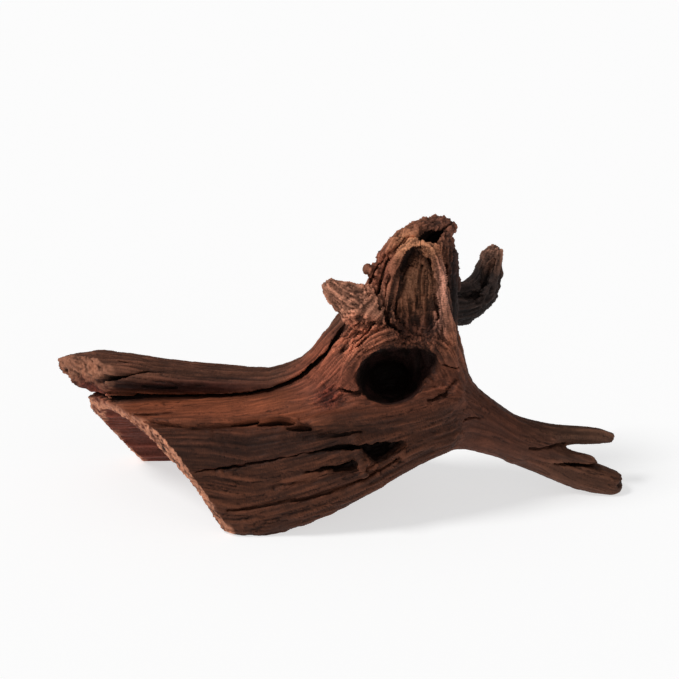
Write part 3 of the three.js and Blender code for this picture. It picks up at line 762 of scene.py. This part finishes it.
def relief(wood, places, normals):
    """How far each place stands out from the plain skin, and what its colour needs."""
    fine, middle, broad = streaks(wood, places)
    rough = at_places(wood.rough, wood.low, COARSE, places)
    for centre, reach, depth in ROUGH_PLACES:
        rough = rough + soft_share(places, centre, reach) * (depth - rough)
    sawn = sawn_share(places, normals)
    depth = np.maximum(-at_places(wood.skin, wood.low, CELL, places), 0)
    cracks = np.exp(-((middle / CRACK_WIDTH) ** 2)) * np.clip(0.3 + broad, 0, 1)
    slits = np.exp(-((fine / SLIT_WIDTH) ** 2)) * np.clip(0.4 - 0.8 * broad, 0, 1)
    height = rough * (0.25 * middle + 0.19 * fine - 0.8 * cracks - 0.35 * slits)
    height = height + 0.32 * np.minimum(rough, 1) * broad
    cut_share = np.minimum(sawn, 1)
    height = height * (1 - cut_share) + cut_share * (0.25 * noise(places, 1.6, 1) + 0.2 * fine)
    crumbly = sum(share * soft_share(places, centre, reach) for centre, reach, share in CRUMBLY_PLACES)
    crumbs = mixed_noise(places, CRUMB_LAYERS)
    height = height + crumbly * (0.5 * noise(places, 5, 3) + 0.5 * crumbs)
    standing = np.clip(places[:, 2] / 1.5, 0, 1)
    facts = dict(fine=fine, middle=middle, broad=broad, cracks=cracks, slits=slits, sawn=sawn, depth=depth,
                 rough=rough, normals=normals, crumbs=np.minimum(crumbly, 1) * crumbs)
    return height * standing, facts


# Patches of colour on the wood, a few of them painted highlights and painted shade: centre, reach, colour
# as srgb takes it, and strength.
PATCHES = [
    ((-60, -14, 61), (75, 20, 5), (146, 81, 54), 0.8),
    ((-5, -18, 76), (20, 14, 14), (146, 83, 63), 0.95),
    ((-14, -8, 84), (16, 12, 16), (150, 84, 62), 0.8),
    # Partly the wood's own lighter colour and partly painted highlight on the grooves left of the knot
    # hole.
    ((10, -16, 97), (12, 10, 12), (200, 122, 94), 0.9),
    ((28, -18, 98), (30, 9, 8), (128, 78, 58), 0.7),
    ((-55, -38, 48), (55, 10, 8), (58, 34, 25), 0.75),
    ((-6, -26, 70), (7, 7, 6), (100, 42, 34), 0.7),
    ((40, -5, 126), (11, 12, 18), (108, 76, 57), 0.9),
    ((41, -13, 103), (15, 10, 9), (58, 33, 27), 0.95),
    # Painted highlight along the right leg of the arch.
    ((54, -11, 122), (4.5, 6, 24), (182, 130, 112), 0.75),
    # Painted highlight on the top of the arch.
    ((38, -5, 146), (14, 8, 6), (180, 126, 94), 0.85),
    ((22, 0, 130), (9, 12, 20), (128, 76, 60), 0.7),
    # Painted shade on the column's right side, which faces away from the key lamp.
    ((62, 6, 126), (8, 14, 26), (44, 28, 26), 0.95),
    # Painted shade at the base of the stub, behind the column.
    ((62, 4, 111), (7, 15, 15), (32, 22, 20), 0.95),
    ((-124, -8, 58), (10, 12, 3), (168, 112, 88), 0.6),
    ((-85, -5, 66), (60, 7, 4.5), (58, 31, 25), 1),
    ((-136, 2, 61), (14, 14, 6), (112, 54, 42), 0.9),
    ((52, 8, 152), (12, 14, 8), (112, 72, 58), 0.8),
    ((84, 44, 124), (8, 8, 9), (132, 96, 80), 0.9),
]
# Painted shade in the hollows and cracks: the colour they darken towards, mottled in the knot hole with a
# dim red.
HOLLOW_SHADE = srgb(30, 19, 16)
HOLE_RED = srgb(62, 38, 36)
HOLE_PLACE = ((28, -8, 74), (22, 18, 16))
HOLE_STRETCH = np.array([1, 0.4, 0.25])
TUNNEL_RED = srgb(106, 54, 42)
TUNNEL_TOP = 56
PALE = srgb(224, 156, 124)
STAINED_END = ((-136, 2, 60.5), (14, 14, 6))  # the lower part of the limb's broken end: centre and reach
BARE_STRETCH = np.array([0.2, 1, 1])
BARE_LAYERS = ((2.1, 3, 1), (1.1, 2, 1))
# How far below the skin the painted shade in the hollows begins, and over what depth it deepens.
DARKENING_START = 0.4
DARKENING_DEPTH = 1.8
WARMTH = np.array([0.94, 0.89, 0.845])
DARKEST = 0.002


def in_tunnel(places, normals):
    """How much a place belongs to the tunnel's inner side, which faces its middle, left of the body."""
    outward = places[:, 1:] - np.stack([-0.2 * places[:, 2], np.full(len(places), 4.0)], 1)
    facing = -(outward * normals[:, 1:]).sum(1) / np.linalg.norm(outward, axis=1)
    left = np.clip((-10 - places[:, 0]) / 20, 0, 1)
    return np.clip(3 * facing, 0, 1) * left * (places[:, 2] < TUNNEL_TOP)


def colours(wood, places, facts):
    """Each place's colour, with painted shade in its hollows, cracks and furrows and painted highlights on
    its crests and on some patches, and in its alpha half the contrast between its fibres.
    """
    tint = at_places(wood.tint, wood.low, COARSE, places)
    for centre, reach, colour, strength in PATCHES:
        share = strength * soft_share(places, centre, reach)
        tint = tint + share[:, None] * (srgb(*colour) - tint)
    inside = in_tunnel(places, facts["normals"])
    tint = tint + inside[:, None] * (TUNNEL_RED - tint)
    contrast = np.clip(0.2 + 0.8 * facts["rough"], 0.5, 2.6)
    # The tone follows the relief: partly the grain's own colour, and partly painted shade in the furrows,
    # cracks and slits and painted highlight on the crests and crumbs.
    tone = contrast * (0.3 * facts["fine"] + 0.24 * facts["middle"] + 0.14 * facts["broad"])
    tone = tone + facts["crumbs"] - facts["cracks"] - 0.6 * contrast * facts["slits"]
    tone = tone * (1 - 0.35 * inside)
    tint = tint * np.exp(np.clip(tone, -1.7, 0.8))[:, None]
    # Painted shade inside the hollows and cracks, deeper with their depth below the skin, and mottled red
    # in the knot hole.
    hollow_shade = 1 - np.exp(-np.maximum(facts["depth"] - DARKENING_START, 0) / DARKENING_DEPTH)
    mottled = soft_share(places, *HOLE_PLACE)[:, None]
    mottled = mottled * np.clip(0.5 + noise(places * HOLE_STRETCH, 3, 2), 0, 1)[:, None]
    tint = tint + hollow_shade[:, None] * (HOLLOW_SHADE + mottled * HOLE_RED - tint)
    bare = 0.6 + 0.4 * noise(places, 7, 2) + 0.6 * noise(places * BARE_STRETCH, 1.6, 1)
    bare = facts["sawn"] * np.clip(bare + 0.5 * mixed_noise(places, BARE_LAYERS), 0, 1) * (1 - hollow_shade)
    bare = bare * (1 - soft_share(places, *STAINED_END))
    tint = tint + bare[:, None] * (PALE - tint)
    return np.hstack([np.clip(tint * WARMTH, DARKEST, 1), 0.5 * contrast[:, None]])


SPECKLE_NOISE = {"Scale": 900, "Detail": 4, "Roughness": 0.65}
PATCH_NOISE = {"Scale": 90, "Detail": 5}
SPECKLE_STRENGTH = 2.6
DRIFT_RANGE = {"From Min": 0.3, "From Max": 0.7, "To Min": 0.85, "To Max": 1.15}
GLOSS_RANGE = {"To Min": 0.5, "To Max": 0.85}
BUMP_HEIGHT = 0.0005


def new_node(material, kind, values, operation=None):
    """A new node with fixed values in its named or numbered inputs."""
    node = material.node_tree.nodes.new("ShaderNode" + kind)
    if operation:
        node.operation = operation
    for slot, value in values.items():
        node.inputs[slot].default_value = value
    return node


def wood_material():
    """Weathered wood: the tint that each place carries, with a speckle, a slow drift and small bumps."""
    material = bpy.data.materials.new("weathered wood")
    material.use_nodes = True
    shader = material.node_tree.nodes["Principled BSDF"]
    shader.inputs["Specular IOR Level"].default_value = 0.18
    tint = new_node(material, "Attribute", {})
    tint.attribute_name = "tint"
    place = new_node(material, "TexCoord", {})
    speckle = new_node(material, "TexNoise", SPECKLE_NOISE)
    patches = new_node(material, "TexNoise", PATCH_NOISE)
    contrast = new_node(material, "Math", {1: SPECKLE_STRENGTH}, "MULTIPLY")
    centred = new_node(material, "Math", {1: 0.5}, "SUBTRACT")
    shade = new_node(material, "Math", {2: 1}, "MULTIPLY_ADD")
    drift = new_node(material, "MapRange", DRIFT_RANGE)
    both = new_node(material, "Math", {}, "MULTIPLY")
    coloured = new_node(material, "VectorMath", {}, "SCALE")
    gloss = new_node(material, "MapRange", GLOSS_RANGE)
    bump = new_node(material, "Bump", {"Distance": BUMP_HEIGHT})
    for source, output, target, slot in (
        (place, "Object", speckle, "Vector"),
        (place, "Object", patches, "Vector"),
        (tint, "Alpha", contrast, 0),
        (speckle, "Fac", centred, 0),
        (centred, "Value", shade, 0),
        (contrast, "Value", shade, 1),
        (patches, "Fac", drift, "Value"),
        (shade, "Value", both, 0),
        (drift, "Result", both, 1),
        (tint, "Color", coloured, 0),
        (both, "Value", coloured, "Scale"),
        (coloured, "Vector", shader, "Base Color"),
        (patches, "Fac", gloss, "Value"),
        (gloss, "Result", shader, "Roughness"),
        (tint, "Alpha", bump, "Strength"),
        (speckle, "Fac", bump, "Height"),
        (bump, "Normal", shader, "Normal"),
    ):
        material.node_tree.links.new(source.outputs[output], target.inputs[slot])
    return material


PIECE_NAMES = ("wood_sawn_end", "wood_trunk", "wood_top", "wood_body", "wood_branch")
SAWN_END_X = -78
TRUNK_X = -24
TOP_Z = 97
BODY_X = 27


def piece_of(middles):
    """Which mesh each face belongs to, by its middle, so that none has too many triangles."""
    x, z = middles[:, 0], middles[:, 2]
    return np.select([x < SAWN_END_X, x < TRUNK_X, z > TOP_Z, x < BODY_X], [0, 1, 2, 3], 4)


def make_pieces(vertices, faces, tint, material):
    """The wood as meshes that meet without a seam, because their normals come from the whole."""
    normals = vertex_normals(vertices, faces)
    metres = (vertices + CENTRING) * MM
    piece = piece_of(vertices[faces].mean(1))
    for k, name in enumerate(PIECE_NAMES):
        own = faces[piece == k]
        used = np.unique(own)
        number = np.zeros(len(vertices), int)
        number[used] = np.arange(len(used))
        mesh = bpy.data.meshes.new(name)
        mesh.vertices.add(len(used))
        mesh.vertices.foreach_set("co", metres[used].astype(np.float32).ravel())
        mesh.loops.add(4 * len(own))
        mesh.loops.foreach_set("vertex_index", number[own].astype(np.int32).ravel())
        mesh.polygons.add(len(own))
        mesh.polygons.foreach_set("loop_start", np.arange(0, 4 * len(own), 4, dtype=np.int32))
        mesh.update(calc_edges=True)
        mesh.polygons.foreach_set("use_smooth", np.ones(len(own), bool))
        colour = mesh.attributes.new("tint", "FLOAT_COLOR", "POINT")
        colour.data.foreach_set("color", tint[used].astype(np.float32).ravel())
        mesh.normals_split_custom_set_from_vertices(normals[used])
        mesh.materials.append(material)
        piece_object = bpy.data.objects.new(name, mesh)
        bpy.context.scene.collection.objects.link(piece_object)
        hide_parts("driftwood")
        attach(piece_object, "root")


def make_wood():
    """Grows the wood, gives its skin relief and colour, and makes its meshes."""
    wood = Wood()
    vertices, faces = largest_body(*surface_net(wood.field, wood.low, CELL))
    normals = vertex_normals(vertices, faces)
    height, facts = relief(wood, vertices, normals)
    tint = colours(wood, vertices, facts)
    vertices = vertices + normals * height[:, None]
    vertices[:, 2] = np.maximum(vertices[:, 2], 0)
    make_pieces(vertices, faces, tint, wood_material())


FLOOR_SIZE = 80
FLOOR_GREY = 0.5
FLOOR_GLOW = 0.62  # a light table's share of the floor's brightness, which keeps the shadow faint


def make_floor():
    """A plain pale floor."""
    bpy.ops.mesh.primitive_plane_add(size=FLOOR_SIZE)
    floor = bpy.context.object
    floor.name = "floor"
    material = bpy.data.materials.new("pale floor")
    material.use_nodes = True
    shader = material.node_tree.nodes["Principled BSDF"]
    shader.inputs["Base Color"].default_value = (FLOOR_GREY, FLOOR_GREY, FLOOR_GREY, 1)
    shader.inputs["Roughness"].default_value = 0.9
    shader.inputs["Specular IOR Level"].default_value = 0.0
    shader.inputs["Emission Color"].default_value = (1, 1, 1, 1)
    shader.inputs["Emission Strength"].default_value = FLOOR_GLOW
    floor.data.materials.append(material)


SKY_STRENGTH = 0.22
# Each lamp's name, where it shines from, its strength, and how wide it looks in degrees.
LAMPS = (
    ("key", (-0.62, -0.12, 0.8), 1.8, 18),
    ("fill", (0.5, -0.9, 0.5), 0.25, 60),
)


def make_light():
    """Soft studio light: a pale surround, a key lamp and a fill lamp."""
    world = bpy.data.worlds.new("studio")
    bpy.context.scene.world = world
    world.use_nodes = True
    background = world.node_tree.nodes["Background"]
    background.inputs["Color"].default_value = (1, 1, 1, 1)
    background.inputs["Strength"].default_value = SKY_STRENGTH
    for name, direction, strength, angle in LAMPS:
        lamp = bpy.data.lights.new(name, "SUN")
        lamp.energy = strength
        lamp.angle = math.radians(angle)
        holder = bpy.data.objects.new(name, lamp)
        holder.rotation_euler = Vector(direction).to_track_quat("Z", "Y").to_euler()
        bpy.context.scene.collection.objects.link(holder)


# The photograph's camera: how far away it stands, how steeply it looks down, and its focal length as a
# share of the picture's width.
CAMERA_TARGET = Vector((-1.05, -0.25, 91.5)) * MM
CAMERA_DISTANCE = 0.9
CAMERA_ELEVATION = math.radians(22)
CAMERA_FOCAL_SHARE = 1698 / 679
SENSOR_WIDTH = 36
SIGHT = 50


def make_camera():
    """The camera at the photograph's viewing angle."""
    camera = bpy.data.cameras.new("camera")
    camera.sensor_width = SENSOR_WIDTH
    camera.lens = SENSOR_WIDTH * CAMERA_FOCAL_SHARE
    camera.clip_end = SIGHT
    holder = bpy.data.objects.new("camera", camera)
    away = Vector((0, -math.cos(CAMERA_ELEVATION), math.sin(CAMERA_ELEVATION)))
    holder.location = CAMERA_TARGET + CAMERA_DISTANCE * away
    holder.rotation_euler = away.to_track_quat("Z", "Y").to_euler()
    bpy.context.scene.collection.objects.link(holder)
    bpy.context.scene.camera = holder


make_camera()
make_wood()
make_floor()
make_light()
bpy.context.scene.view_settings.view_transform = "Standard"
